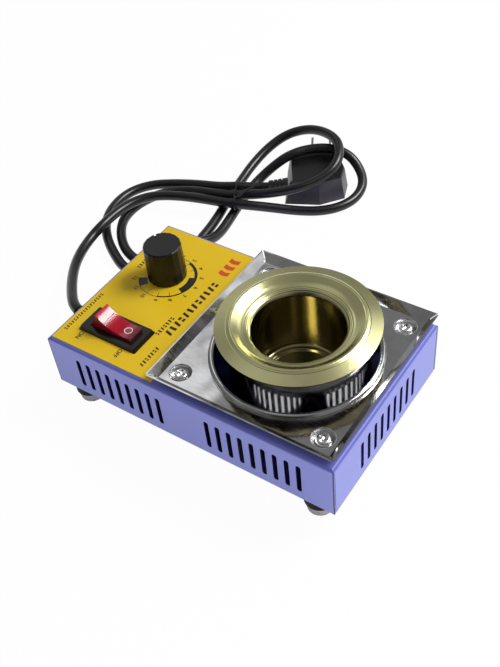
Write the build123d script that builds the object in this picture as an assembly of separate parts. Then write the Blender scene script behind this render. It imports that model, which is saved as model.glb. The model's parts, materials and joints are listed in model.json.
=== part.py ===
from build123d import *
import math
import os

# Bench solder pot: a folded sheet case carries a heated cup, a drip tray, a dial regulator and a rocker switch.
# Frame: +X runs along the case towards the cup, +Y to the rear, +Z up, z = 0 on the table.

# Case
case_length = 178.0
case_width = 109.0
case_height = 34.5
case_sheet = 1.0
case_bend_radius = 2.0
seam_gap = 0.5
foot_height = 13.0
case_top = foot_height + case_height
case_inside_top = case_top - case_sheet
half_length = case_length / 2
half_width = case_width / 2

# Vent slots
slot_width = 2.8
slot_length = 20.0
slot_pitch = 6.75
side_slot_pitch_share = 0.0379
side_slot_pitch = case_length * side_slot_pitch_share
slots_per_group = 9
slot_rise = 15.8
slot_middle_z = foot_height + slot_rise
slot_group_share = 0.4775
slot_group_x = half_length * slot_group_share
cup_hole_inset = 53.0
cup_hole_x = half_length - cup_hole_inset
case_cup_hole_radius = 46.0

# Cup, rim and heater
cup_shift_x = 0.8
cup_shift_y = 1.8
cup_x = cup_hole_x + cup_shift_x
cup_y = cup_shift_y
cup_bore_radius = 23.8
cup_wall = 1.2
cup_floor_rise = 16.5
cup_floor_z = foot_height + cup_floor_rise
cup_floor_bend = 2.0
cup_step_radius = 20.5
cup_step_depth = 1.0
cup_step_bend = 0.4
rim_radius = 42.3
rim_rise = 56.8
rim_edge_z = foot_height + rim_rise
rim_slope_rise = 1.9
rim_bead_radius = 34.0
rim_bead_rise = 0.9
rim_bead_width = 2.8
rim_fold_bend = 1.5
rim_bead_bend = 1.4
trough_radius = 29.6
trough_drop = 0.4
trough_bend = 6.0
bore_edge_width = 2.1
bore_edge_rise = 2.1
bore_edge_drop = 3.6
bore_edge_bend = 1.8
shield_radius = 37.5
shield_wall = 0.8
shield_floor_width = 13.0
shield_bolt_radius = 30.5
standoff_height = 4.0
standoff_radius = 3.5
heater_thickness = 2.4
heater_rise = 20.0
heater_bottom = foot_height + heater_rise
heater_height = 24.0
band_gap = 3.0
lead_hole_radius = 3.5
lead_hole_rise = 15.5
lead_hole_z = foot_height + lead_hole_rise
sleeve_rise = 10.5
sleeve_bottom = foot_height + sleeve_rise
sleeve_rim_gap = 5.8
sleeve_top = rim_edge_z - sleeve_rim_gap
pad_radius = 26.0
sleeve_clearance = 0.3
fit_clearance = 0.1

# Drip tray
tray_sheet = 0.6
tray_flat_rise = 3.5
tray_edge_rise = 7.4
tray_length = 109.0
tray_slit = 0.8
tray_hole_radius = 43.0
tray_lip_width = 2.2
tray_lip_rise = 1.3
tray_lip_crest = 1.3
tray_lip_bend = 0.7
tray_screw_inset = 12.7
dimple_top_radius = 6.0
dimple_floor_radius = 4.6
dimple_bend = 0.8

# Screws
tray_screw_radius = 2.0
tray_screw_length = 8.0
tray_screw_head_radius = 3.9
tray_screw_head_height = 2.8
tray_nut_height = 3.2
tray_nut_flats = 7.0
small_screw_radius = 1.5
small_screw_head_radius = 2.8
small_screw_head_height = 1.8
small_nut_height = 2.4
small_nut_flats = 5.5
foot_screw_radius = 2.0
foot_screw_head_radius = 3.6
foot_screw_head_height = 2.4
foot_nut_height = 3.2
foot_nut_flats = 7.0
thread_end = 1.0
head_round_share = 0.55
recess_share = 1.2
recess_width = 1.2
recess_depth = 1.3
hole_clearance = 0.2

# Base, tabs and feet
base_sheet = 1.0
base_clearance = 0.4
tab_length = 12.0
tab_width = 14.0
tab_side_inset = 26.5
tab_y = half_width - tab_side_inset
foot_end_inset = 13.5
foot_side_inset = 8.7
foot_x = half_length - foot_end_inset
foot_y = half_width - foot_side_inset
foot_flange_radius = 8.4
foot_flange_height = 5.5
foot_upper_radius = 7.9
foot_tip_radius = 6.9
foot_tip_round = 1.0
foot_bore_radius = 4.0
foot_bore_depth = 7.0

# Label
label_thickness = 0.3
label_tuck = 1.0
label_right_x = half_length - tray_length + label_tuck
label_top = case_top + label_thickness

# Rocker switch
switch_end_inset = 31.0
switch_side_inset = 22.4
switch_x = switch_end_inset - half_length
switch_y = switch_side_inset - half_width
bezel_length = 39.0
bezel_width = 18.6
bezel_height = 2.3
bezel_slope = 1.0
switch_body_length = 35.0
switch_body_width = 14.6
switch_body_depth = 20.0
pocket_length = 27.6
pocket_width = 11.0
pocket_depth = 10.6
rocker_length = 26.6
rocker_crest_length = 23.2
rocker_width = 10.2
rocker_end_rise = 9.3
rocker_middle_rise = 6.0
rocker_end_depth = 2.3
rocker_keel = 8.0
rocker_underside = 5.0
rocker_throw = 36.0
rocker_pivot_drop = 0.4
rocker_pin_radius = 1.5
rocker_pin_length = 1.4
rocker_pin_end_gap = 0.2
terminal_width = 6.3
terminal_thickness = 0.8
terminal_length = 9.0
terminal_pitch = 11.0

# Regulator and knob
knob_end_inset = 28.0
knob_side_inset = 37.3
knob_x = knob_end_inset - half_length
knob_y = half_width - knob_side_inset
knob_base_radius = 11.3
knob_top_radius = 10.7
knob_height = 22.1
knob_lift = 0.5
knob_facets = 18
knob_pointer_angle = 150.0
knob_notch_width = 1.5
knob_notch_length = 2.6
knob_cavity_radius = 7.2
knob_cavity_depth = 4.4
knob_roof = 3.0
knob_top_chamfer = 0.6
shaft_radius = 3.0
shaft_clearance = 0.05
regulator_radius = 8.6
regulator_height = 9.5
regulator_floor = 2.0
lug_pitch = 5.0
lug_width = 1.5
lug_length = 6.0
bush_radius = 3.6
bush_rise = 4.0
regulator_nut_flats = 10.0
regulator_nut_height = 2.0
washer_radius = 6.0
washer_thickness = 0.5

# Circuit board
board_room_share = 0.504
board_room = half_length - case_sheet + cup_x - shield_radius
board_length = board_room * board_room_share
board_width = 58.0
board_thickness = 1.6
board_side_inset = 37.5
board_x = case_sheet - half_length + board_length
board_y = half_width - board_side_inset
board_lift = 5.0
board_inset = 4.0
sink_length = 30.0
sink_height = 18.0
sink_thickness = 1.5
sink_fin_reach = 5.0
sink_fins = 6
triac_width = 10.0
triac_height = 9.0
triac_depth = 4.4
triac_lead_pitch = 2.5
triac_lead_length = 5.0
triac_lead_width = 0.8
capacitor_offset = 8.0
capacitor_width = 9.0
capacitor_length = 18.0
capacitor_height = 13.0
block_place_share = 0.485
block_length_share = 0.295
block_side_inset = 17.5
block_x = switch_x + (cup_x - switch_x) * block_place_share
block_y = block_side_inset - half_width
block_length = (cup_x - switch_x) * block_length_share
block_width = 16.0
block_height = 12.0
block_ways = 3
block_hole_radius = 2.2
block_wire_radius = 1.8

# Mains lead and plug
cord_diameter = 6.6
gland_y = -18.0
gland_rise = 14.0
gland_z = foot_height + gland_rise
gland_neck_radius = 5.5
gland_flange_radius = 8.0
gland_flange_thickness = 1.6
gland_inside = 5.0
boot_length = 15.5
boot_root_radius = 6.2
boot_tip_radius = 4.3
boot_ribs = 6
boot_groove_depth = 0.7
gland_snap = 1.4
gland_clearance = 0.05
cord_start_inside = 2.5
cord_straight_outside = 10.5
bend_share = 0.45
tie_wire_radius = 0.5
tie_tail_radius = 0.8
tie_slack = 0.35
tie_ends = [(-93.8, 127, 11.5), (-102.9, 144, 11.5)]
tie_tail_end = (-86, 148, 18.5)
cord_end_gap = 0.02
plug_height = 15.5
plug_edge_round = 1.5
relief_length = 13.0
relief_tip_radius = 4.4
relief_root_radius = 6.2
relief_groove_depth = 0.8
relief_grooves = 3
relief_groove_spread = 1.5
pin_first = 28.4
pin_spacing = 12.7
pin_length = 18.0
pin_width = 6.3
pin_thickness = 1.6

# The lead leaves the gland, lies in two folds held by a wire tie, and ends at the plug
cord_points = [
    (cord_start_inside - half_length, gland_y, gland_z),
    (-half_length - cord_straight_outside, gland_y, gland_z),
    (-111.5, -13.5, 25.5), (-121, -6, 22.5), (-135.5, 8.5, 17), (-149, 24.5, 11.5), (-158.5, 41, 8),
    (-162, 55, 8), (-160.5, 67, 11.5), (-160.5, 83, 11.5), (-157, 97.5, 11.5), (-149, 108.5, 11.5),
    (-134, 116, 11.5),
    (-117, 121, 11.5), (-100.5, 124.5, 11.5), (-85.5, 130, 11), (-72, 139, 7.5), (-58, 147.5, 4),
    (-43.5, 155, 3.5), (-33, 166, 3.5), (-28.5, 179.5, 4), (-30.5, 192.5, 6.5), (-38.5, 201.5, 10.5),
    (-49, 204.5, 17.5), (-62.5, 201.5, 20.5), (-75, 193.5, 20.5), (-83.5, 182, 20), (-91.5, 174, 13.5),
    (-97.5, 164, 7), (-99, 150.5, 4), (-96.5, 134.5, 3.5), (-93.5, 120, 3.5), (-91, 106, 3.5), (-89.5, 95, 6),
    (-90.5, 84.5, 11), (-95, 75, 12.5), (-101, 66.5, 9.5), (-109, 58.5, 5), (-120.5, 55, 3.5),
    (-132.5, 57.5, 3.5),
    (-145.5, 66, 3.5), (-157.5, 80.5, 3.5), (-161, 94.5, 3.5), (-159, 110, 3.5), (-150.5, 123.5, 4),
    (-134.5, 129.5, 7), (-115, 129.5, 11.5), (-100.5, 133.5, 11.5), (-87.5, 140.5, 12), (-73.5, 146.5, 14.5),
    (-60.5, 154, 17.5), (-51.5, 166, 19), (-46, 178, 22.5), (-47.5, 190, 26), (-56.5, 202.5, 28),
    (-73.5, 211, 25.5), (-89, 212.5, 21.5), (-101.5, 206, 17), (-109, 193, 11.5), (-111.5, 175.5, 7),
    (-110, 156, 4), (-106, 133.5, 3.5),
    (-102, 117.5, 3.5), (-99.5, 103, 3.5), (-98.5, 90, 3.5), (-93, 79.5, 3.5), (-91, 68, 3.5), (-95, 57, 3.5),
    (-103.5, 48.5, 3.5), (-114.5, 45, 3.5), (-127, 45.5, 3.5), (-141, 53, 3.5), (-155.5, 63, 3.5),
    (-168.5, 76.5, 3.5), (-175.5, 94, 3.5), (-175, 112, 3.5), (-166, 126, 3.5), (-150.5, 134.5, 4),
    (-132, 137.5, 7.5), (-113.5, 138, 11.5), (-102, 144.5, 11.5), (-93.5, 150.5, 9.5), (-84.5, 155.5, 9.5),
]

# Plug outline on the table and at its top face, from the end of the lead, with X along the lead
plug_base_outline = [(11, -7), (35, -9), (52, -2), (54, 13), (47, 39), (22, 39), (11, 31)]
plug_top_outline = [(17, -1), (35, -3), (50, 0), (52, 13), (45, 39), (23, 39), (14, 30)]


def block(x_low, x_high, y_low, y_high, z_low, z_high):
    middle = Pos((x_low + x_high) / 2, (y_low + y_high) / 2, (z_low + z_high) / 2)
    return middle * Box(x_high - x_low, y_high - y_low, z_high - z_low)


def rod(radius, z_low, z_high, x=0.0, y=0.0):
    return Pos(x, y, (z_low + z_high) / 2) * Cylinder(radius, z_high - z_low)


def pipe(outer, inner, z_low, z_high, x=0.0, y=0.0):
    return rod(outer, z_low, z_high, x, y) - rod(inner, z_low, z_high, x, y)


def turned(points):
    """Solid of revolution about the Z axis, from (radius, height) corners."""
    outline = make_face(Polyline(*[(r, 0, z) for r, z in points], close=True))
    return revolve(outline, Axis.Z)


def corners(half_x, half_y, x=0.0, y=0.0):
    return [(x + sx * half_x, y + sy * half_y) for sx in (-1, 1) for sy in (-1, 1)]


def pressed_sheet(points, radii, thickness, x=0.0, y=0.0):
    """Round pressing: the upper line runs from outside to inside, and the sheet lies under it."""
    upper_line = FilletPolyline(*[(r, 0, z) for r, z in points], radius=radii)
    section = make_face(offset(upper_line, amount=thickness, side=Side.RIGHT))
    return Pos(x, y, 0) * revolve(section, Axis.Z)


def hexagon(flats, bore, z_low, z_high, x=0.0, y=0.0):
    outline = RegularPolygon(flats / 2, 6, major_radius=False)
    return Pos(x, y, z_low) * extrude(outline, z_high - z_low) - rod(bore, z_low, z_high, x, y)


def pan_screw(radius, length, head_radius, head_height):
    """Cross-recessed pan head on z = 0, with the shank pointing down."""
    head = rod(head_radius, 0, head_height)
    head = fillet(head.edges().group_by(Axis.Z)[-1], head_height * head_round_share)
    bar = Box(head_radius * recess_share, recess_width, 2 * recess_depth)
    recess = Pos(0, 0, head_height) * (bar + Rot(0, 0, 90) * bar)
    return head + rod(radius, -length, 0.0) - recess


def group(solids):
    return Compound(list(solids))


# Places shared by several pieces
base_top = foot_height + base_sheet
tray_x = half_length - tray_length / 2
tray_flat_top = case_top + tray_flat_rise
tray_flat_bottom = tray_flat_top - tray_sheet
tray_edge_top = case_top + tray_edge_rise
dimple_floor = case_top + tray_sheet
tray_screw_places = corners(tray_length / 2 - tray_screw_inset, half_width - tray_screw_inset, tray_x)
foot_places = corners(foot_x, foot_y)
base_screw_places = corners(half_length - case_sheet - tab_length / 2, tab_y)
shield_bottom = base_top + standoff_height
shield_bolt_places = []
for angle in (90, 210, 330):
    bolt_x = cup_x + shield_bolt_radius * math.cos(math.radians(angle))
    bolt_y = cup_y + shield_bolt_radius * math.sin(math.radians(angle))
    shield_bolt_places.append((bolt_x, bolt_y))
board_bottom = base_top + board_lift
board_top = board_bottom + board_thickness
board_screw_places = corners(board_length / 2 - board_inset, board_width / 2 - board_inset, board_x, board_y)
bezel_top = label_top + bezel_height
rocker_pivot_z = label_top - rocker_pivot_drop
knob_bottom = label_top + knob_lift
shaft_top = knob_bottom + knob_height - knob_roof
shaft_bottom = case_inside_top - regulator_height + regulator_floor
regulator_nut_bottom = label_top + washer_thickness


def make_case_shell():
    outside = block(-half_length, half_length, -half_width, half_width, foot_height, case_top)
    outside = fillet(outside.edges().group_by(Axis.Z)[-1], case_bend_radius)
    inner_x = half_length - case_sheet
    inner_y = half_width - case_sheet
    inside = block(-inner_x, inner_x, -inner_y, inner_y, foot_height, case_inside_top)
    inside = fillet(inside.edges().group_by(Axis.Z)[-1], case_bend_radius - case_sheet)
    shell = outside - inside
    for side in (-1, 1):
        for y in (-tab_y, tab_y):
            middle = side * (half_length - (case_sheet + tab_length) / 2)
            reach = (case_sheet + tab_length) / 2
            shell += block(middle - reach, middle + reach, y - tab_width / 2, y + tab_width / 2,
                           base_top, base_top + case_sheet)
    return shell - case_openings() - corner_seams()


def vent_slot():
    return Rot(0, 0, 90) * SlotOverall(slot_length, slot_width)


def slot_offsets(pitch):
    return [(i - (slots_per_group - 1) / 2) * pitch for i in range(slots_per_group)]


def case_openings():
    cuts = []
    for middle in (-slot_group_x, slot_group_x):
        for step in slot_offsets(side_slot_pitch):
            place = Pos(middle + step, 0, slot_middle_z) * Rot(90, 0, 0)
            cuts.append(extrude(place * vent_slot(), case_width, both=True))
    for step in slot_offsets(slot_pitch):
        place = Pos(half_length, step, slot_middle_z) * Rot(0, 0, 90) * Rot(90, 0, 0)
        cuts.append(extrude(place * vent_slot(), case_bend_radius, both=True))
    low = case_inside_top - case_sheet
    high = case_top + case_sheet
    cuts.append(rod(case_cup_hole_radius, low, high, cup_hole_x))
    cuts.append(rod(bush_radius + hole_clearance, low, high, knob_x, knob_y))
    cuts.append(switch_cut_out(low, high))
    for x, y in tray_screw_places:
        cuts.append(rod(tray_screw_radius + hole_clearance, low, high, x, y))
    for x, y in base_screw_places:
        cuts.append(rod(small_screw_radius + hole_clearance, foot_height, base_top + 2 * case_sheet, x, y))
    gland_hole = Rot(0, 90, 0) * Cylinder(gland_neck_radius + hole_clearance, 4 * case_sheet)
    cuts.append(Pos(-half_length, gland_y, gland_z) * gland_hole)
    return cuts


def switch_cut_out(low, high):
    reach_x = switch_body_length / 2 + hole_clearance
    reach_y = switch_body_width / 2 + hole_clearance
    return block(switch_x - reach_x, switch_x + reach_x, switch_y - reach_y, switch_y + reach_y, low, high)


def corner_seams():
    cuts = []
    inner_y = half_width - case_sheet
    for side in (-1, 1):
        for y in (-inner_y + seam_gap / 2, inner_y - seam_gap / 2):
            x = side * (half_length - case_sheet / 2)
            cuts.append(block(x - case_sheet, x + case_sheet, y - seam_gap / 2, y + seam_gap / 2,
                              foot_height, case_top - case_bend_radius))
    return cuts


def make_control_label():
    edge_y = half_width - case_bend_radius
    sheet = block(-half_length + case_bend_radius, label_right_x, -edge_y, edge_y, case_top, label_top)
    sheet -= rod(bush_radius + hole_clearance, case_top, label_top, knob_x, knob_y)
    return sheet - switch_cut_out(case_top, label_top)


def make_drip_tray():
    edge_run = tray_edge_top - tray_flat_top
    slant = tray_sheet * math.sqrt(2)
    top_x = tray_length - 2 * slant
    top_y = case_width - 2 * slant
    flat_x = top_x - 2 * edge_run
    flat_y = top_y - 2 * edge_run
    under_x = flat_x + 2 * (slant - tray_sheet)
    under_y = flat_y + 2 * (slant - tray_sheet)
    outside = loft([
        Pos(tray_x, 0, tray_flat_bottom) * Rectangle(under_x, under_y),
        Pos(tray_x, 0, tray_edge_top) * Rectangle(tray_length, case_width),
    ])
    inside = loft([
        Pos(tray_x, 0, tray_flat_top) * Rectangle(flat_x, flat_y),
        Pos(tray_x, 0, tray_edge_top) * Rectangle(top_x, top_y),
    ])
    tray = outside - inside
    slit = Box(4 * edge_run, tray_slit, 2 * edge_run)
    for x, y in corners(flat_x / 2 + edge_run / 2, flat_y / 2 + edge_run / 2):
        turn = 45 if x * y > 0 else -45
        tray -= Pos(tray_x + x, y, tray_flat_top + edge_run + slant) * Rot(0, 0, turn) * slit
    lip_start = tray_hole_radius + tray_lip_width
    tray -= rod(lip_start, tray_flat_bottom, tray_flat_top, cup_hole_x)
    lip_crest = tray_flat_top + tray_lip_rise
    tray += pressed_sheet(
        [(lip_start + tray_sheet, tray_flat_top), (lip_start, tray_flat_top),
         (tray_hole_radius + tray_lip_crest, lip_crest), (tray_hole_radius, lip_crest),
         (tray_hole_radius, tray_flat_bottom - tray_lip_rise)],
        [tray_lip_bend] * 3, tray_sheet, cup_hole_x)
    for x, y in tray_screw_places:
        tray -= rod(dimple_top_radius, tray_flat_bottom, tray_flat_top, x, y)
        tray += pressed_sheet(
            [(dimple_top_radius + tray_sheet, tray_flat_top), (dimple_top_radius, tray_flat_top),
             (dimple_floor_radius, dimple_floor), (tray_screw_radius + hole_clearance, dimple_floor)],
            [dimple_bend] * 2, tray_sheet, x, y)
    return tray


def make_tray_screws():
    screw = pan_screw(tray_screw_radius, tray_screw_length, tray_screw_head_radius, tray_screw_head_height)
    return group(Pos(x, y, dimple_floor) * screw for x, y in tray_screw_places)


def make_tray_nuts():
    low = case_inside_top - tray_nut_height
    return group(hexagon(tray_nut_flats, tray_screw_radius + fit_clearance, low, case_inside_top, x, y)
                 for x, y in tray_screw_places)


def make_solder_pot():
    fold = rim_edge_z + rim_slope_rise
    bore_edge = rim_edge_z - bore_edge_drop
    step_z = cup_floor_z - cup_step_depth
    line = [
        (rim_radius, rim_edge_z),
        (rim_bead_radius + rim_bead_width / 2, fold),
        (rim_bead_radius, fold + rim_bead_rise),
        (trough_radius, rim_edge_z - trough_drop),
        (cup_bore_radius + bore_edge_width, bore_edge + bore_edge_rise),
        (cup_bore_radius, bore_edge),
        (cup_bore_radius, cup_floor_z),
        (cup_step_radius, cup_floor_z),
        (cup_step_radius - cup_step_depth, step_z),
        (0, step_z),
    ]
    bends = [rim_fold_bend, rim_bead_bend, trough_bend, bore_edge_bend, bore_edge_bend,
             cup_floor_bend, cup_step_bend, cup_step_bend]
    return pressed_sheet(line, bends, cup_wall, cup_x, cup_y)


def rim_underside(radius):
    """Height of the sloping flange's lower face."""
    run = rim_radius - (rim_bead_radius + rim_bead_width / 2)
    slope = rim_slope_rise / run
    return rim_edge_z + slope * (rim_radius - radius) - cup_wall * math.sqrt(1 + slope * slope)


def make_heat_shield():
    top = rim_underside(shield_radius) - fit_clearance
    inner = shield_radius - shield_wall
    floor_top = shield_bottom + shield_wall
    shield = pipe(shield_radius, inner, shield_bottom, top, cup_x, cup_y)
    shield += pipe(shield_radius, shield_radius - shield_floor_width, shield_bottom, floor_top, cup_x, cup_y)
    for x, y in shield_bolt_places:
        shield -= rod(small_screw_radius + hole_clearance, shield_bottom, floor_top, x, y)
    lead_hole = Rot(0, 90, 0) * Cylinder(lead_hole_radius, 6 * shield_wall)
    return shield - Pos(cup_x - shield_radius, cup_y, lead_hole_z) * lead_hole


def make_heater_band():
    inner = cup_bore_radius + cup_wall + fit_clearance
    heater_top = heater_bottom + heater_height
    band = pipe(inner + heater_thickness, inner, heater_bottom, heater_top, cup_x, cup_y)
    gap = block(cup_x - inner - 2 * heater_thickness, cup_x, cup_y - band_gap / 2, cup_y + band_gap / 2,
                heater_bottom, heater_top)
    return band - gap


def make_insulation_sleeve():
    inner = cup_bore_radius + cup_wall + heater_thickness + 2 * fit_clearance
    outer = shield_radius - shield_wall - sleeve_clearance
    sleeve = pipe(outer, inner, sleeve_bottom, sleeve_top, cup_x, cup_y)
    lead_hole = Rot(0, 90, 0) * Cylinder(lead_hole_radius, 2 * (outer - inner))
    return sleeve - Pos(cup_x - outer, cup_y, lead_hole_z) * lead_hole


def make_insulation_pad():
    low = shield_bottom + shield_wall
    high = cup_floor_z - cup_step_depth - cup_wall
    return rod(pad_radius, low, high, cup_x, cup_y)


def make_shield_standoffs():
    bore = small_screw_radius + fit_clearance
    return group(pipe(standoff_radius, bore, base_top, shield_bottom, x, y) for x, y in shield_bolt_places)


def upward_screw(length):
    screw = pan_screw(small_screw_radius, length, small_screw_head_radius, small_screw_head_height)
    return Rot(180, 0, 0) * screw


def make_shield_screws():
    length = shield_bottom + shield_wall + small_nut_height + thread_end - foot_height
    return group(Pos(x, y, foot_height) * upward_screw(length) for x, y in shield_bolt_places)


def make_shield_nuts():
    low = shield_bottom + shield_wall
    return group(hexagon(small_nut_flats, small_screw_radius + fit_clearance, low, low + small_nut_height, x, y)
                 for x, y in shield_bolt_places)


def make_base_plate():
    reach_x = half_length - case_sheet - base_clearance
    reach_y = half_width - case_sheet - base_clearance
    plate = block(-reach_x, reach_x, -reach_y, reach_y, foot_height, base_top)
    for x, y in base_screw_places + shield_bolt_places + board_screw_places:
        plate -= rod(small_screw_radius + hole_clearance, foot_height, base_top, x, y)
    for x, y in foot_places:
        plate -= rod(foot_screw_radius + hole_clearance, foot_height, base_top, x, y)
    return plate


def make_base_screws():
    length = base_sheet + case_sheet + small_nut_height
    return group(Pos(x, y, foot_height) * upward_screw(length) for x, y in base_screw_places)


def make_foot(x, y):
    neck = foot_height - foot_flange_height
    bore = foot_screw_radius + hole_clearance
    foot = turned([(bore, foot_height), (foot_flange_radius, foot_height), (foot_flange_radius, neck),
                   (foot_upper_radius, neck), (foot_tip_radius, foot_tip_round),
                   (foot_tip_radius - foot_tip_round, 0), (foot_bore_radius, 0),
                   (foot_bore_radius, foot_bore_depth), (bore, foot_bore_depth)])
    return Pos(x, y, 0) * foot


def make_foot_screws():
    length = foot_height - foot_bore_depth + base_sheet + foot_nut_height + thread_end
    screw = pan_screw(foot_screw_radius, length, foot_screw_head_radius, foot_screw_head_height)
    return group(Pos(x, y, foot_bore_depth) * Rot(180, 0, 0) * screw for x, y in foot_places)


def make_foot_nuts():
    high = base_top + foot_nut_height
    return group(hexagon(foot_nut_flats, foot_screw_radius + fit_clearance, base_top, high, x, y)
                 for x, y in foot_places)


def make_switch_body():
    low = label_top - switch_body_depth
    body = block(-switch_body_length / 2, switch_body_length / 2, -switch_body_width / 2, switch_body_width / 2,
                 low, label_top)
    body += loft([
        Pos(0, 0, label_top) * RectangleRounded(bezel_length, bezel_width, bezel_slope),
        Pos(0, 0, bezel_top) * RectangleRounded(bezel_length - 2 * bezel_slope, bezel_width - 2 * bezel_slope,
                                                bezel_slope),
    ])
    body -= block(-pocket_length / 2, pocket_length / 2, -pocket_width / 2, pocket_width / 2,
                  bezel_top - pocket_depth, bezel_top)
    pin_run = rocker_width + 2 * (rocker_pin_length + rocker_pin_end_gap)
    pin_hole = Rot(90, 0, 0) * Cylinder(rocker_pin_radius + shaft_clearance, pin_run)
    body -= Pos(0, 0, rocker_pivot_z) * pin_hole
    return Pos(switch_x, switch_y, 0) * body


def make_rocker():
    foot = rocker_length / 2
    crest = rocker_crest_length / 2
    dished_top = ThreePointArc((-crest, 0, rocker_end_rise), (0, 0, rocker_middle_rise),
                               (crest, 0, rocker_end_rise))
    sides = Polyline((crest, 0, rocker_end_rise), (foot, 0, -rocker_end_depth),
                     (rocker_keel, 0, -rocker_underside), (-rocker_keel, 0, -rocker_underside),
                     (-foot, 0, -rocker_end_depth), (-crest, 0, rocker_end_rise))
    section = make_face(Wire([dished_top, *sides.edges()]))
    body = extrude(section, rocker_width / 2, both=True)
    body += Rot(90, 0, 0) * Cylinder(rocker_pin_radius, rocker_width + 2 * rocker_pin_length)
    return Pos(switch_x, switch_y, rocker_pivot_z) * Rot(0, rocker_throw / 2, 0) * body


def make_switch_terminals():
    low = label_top - switch_body_depth
    return group(block(switch_x + step - terminal_width / 2, switch_x + step + terminal_width / 2,
                       switch_y - terminal_thickness / 2, switch_y + terminal_thickness / 2,
                       low - terminal_length, low) for step in (-terminal_pitch, 0, terminal_pitch))


def make_regulator_body():
    low = case_inside_top - regulator_height
    bush_top = label_top + bush_rise
    body = rod(regulator_radius, low, case_inside_top, knob_x, knob_y)
    body += rod(bush_radius, case_inside_top, bush_top, knob_x, knob_y)
    return body - rod(shaft_radius + shaft_clearance, shaft_bottom - shaft_clearance, bush_top, knob_x, knob_y)


def make_regulator_shaft():
    return rod(shaft_radius, shaft_bottom, shaft_top, knob_x, knob_y)


def make_regulator_washer():
    return pipe(washer_radius, bush_radius + fit_clearance, label_top, regulator_nut_bottom, knob_x, knob_y)


def make_regulator_nut():
    return hexagon(regulator_nut_flats, bush_radius + fit_clearance, regulator_nut_bottom,
                   regulator_nut_bottom + regulator_nut_height, knob_x, knob_y)


def make_regulator_terminals():
    low = case_inside_top - regulator_height + regulator_floor
    lugs = []
    for step in (-lug_pitch, 0, lug_pitch):
        nearest = max(abs(step) - lug_width / 2, 0)
        start = knob_y - math.sqrt(regulator_radius ** 2 - nearest ** 2)
        lugs.append(block(knob_x + step - lug_width / 2, knob_x + step + lug_width / 2,
                          start - lug_length, start, low, low + terminal_thickness))
    return group(lugs)


def make_control_knob():
    knob = loft([
        RegularPolygon(knob_base_radius, knob_facets),
        Pos(0, 0, knob_height) * RegularPolygon(knob_top_radius, knob_facets),
    ])
    knob = chamfer(knob.edges().group_by(Axis.Z)[-1], knob_top_chamfer)
    knob -= rod(knob_cavity_radius, 0, knob_cavity_depth)
    knob -= rod(shaft_radius + shaft_clearance, 0, knob_height - knob_roof + shaft_clearance)
    notch = Box(2 * knob_notch_length, knob_notch_width, 2 * knob_notch_width)
    knob -= Rot(0, 0, knob_pointer_angle) * Pos(knob_top_radius, 0, knob_height) * notch
    return Pos(knob_x, knob_y, knob_bottom) * knob


def make_circuit_board():
    board = block(board_x - board_length / 2, board_x + board_length / 2,
                  board_y - board_width / 2, board_y + board_width / 2, board_bottom, board_top)
    for x, y in board_screw_places:
        board -= rod(small_screw_radius + hole_clearance, board_bottom, board_top, x, y)
    return board


def make_board_standoffs():
    bore = small_screw_radius + fit_clearance
    return group(pipe(standoff_radius, bore, base_top, board_bottom, x, y) for x, y in board_screw_places)


def make_board_screws():
    length = board_top - foot_height
    screw = pan_screw(small_screw_radius, length, small_screw_head_radius, small_screw_head_height)
    return group(Pos(x, y, board_top) * screw for x, y in board_screw_places)


def make_heat_sink():
    x = board_x + board_length / 2 - board_inset
    sink = block(x - sink_thickness, x, board_y - sink_length / 2, board_y + sink_length / 2,
                 board_top, board_top + sink_height)
    for i in range(sink_fins):
        y = board_y - sink_length / 2 + (i + 0.5) * sink_length / sink_fins
        sink += block(x - sink_thickness, x + sink_fin_reach, y - sink_thickness / 2, y + sink_thickness / 2,
                      board_top, board_top + sink_height)
    return sink


def make_triac():
    back = board_x + board_length / 2 - board_inset - sink_thickness
    package = block(back - triac_depth, back, board_y - triac_width / 2, board_y + triac_width / 2,
                    board_top + triac_lead_length, board_top + triac_lead_length + triac_height)
    for step in (-triac_lead_pitch, 0, triac_lead_pitch):
        lead = Box(triac_lead_width, triac_lead_width, triac_lead_length)
        package += Pos(back - triac_depth / 2, board_y + step, board_top + triac_lead_length / 2) * lead
    return package


def make_film_capacitor():
    x = board_x - capacitor_offset
    box = block(x - capacitor_width / 2, x + capacitor_width / 2, board_y - capacitor_length / 2,
                board_y + capacitor_length / 2, board_top, board_top + capacitor_height)
    return fillet(box.edges().group_by(Axis.Z)[-1], board_thickness / 2)


def make_terminal_block():
    strip = block(block_x - block_length / 2, block_x + block_length / 2, block_y - block_width / 2,
                  block_y + block_width / 2, base_top, base_top + block_height)
    for i in range(block_ways):
        x = block_x + (i - (block_ways - 1) / 2) * block_length / block_ways
        strip -= rod(block_hole_radius, base_top + block_height / 2, base_top + block_height, x, block_y)
        wire_hole = Rot(90, 0, 0) * Cylinder(block_wire_radius, block_width)
        strip -= Pos(x, block_y, base_top + block_height / 2) * wire_hole
    return strip


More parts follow.
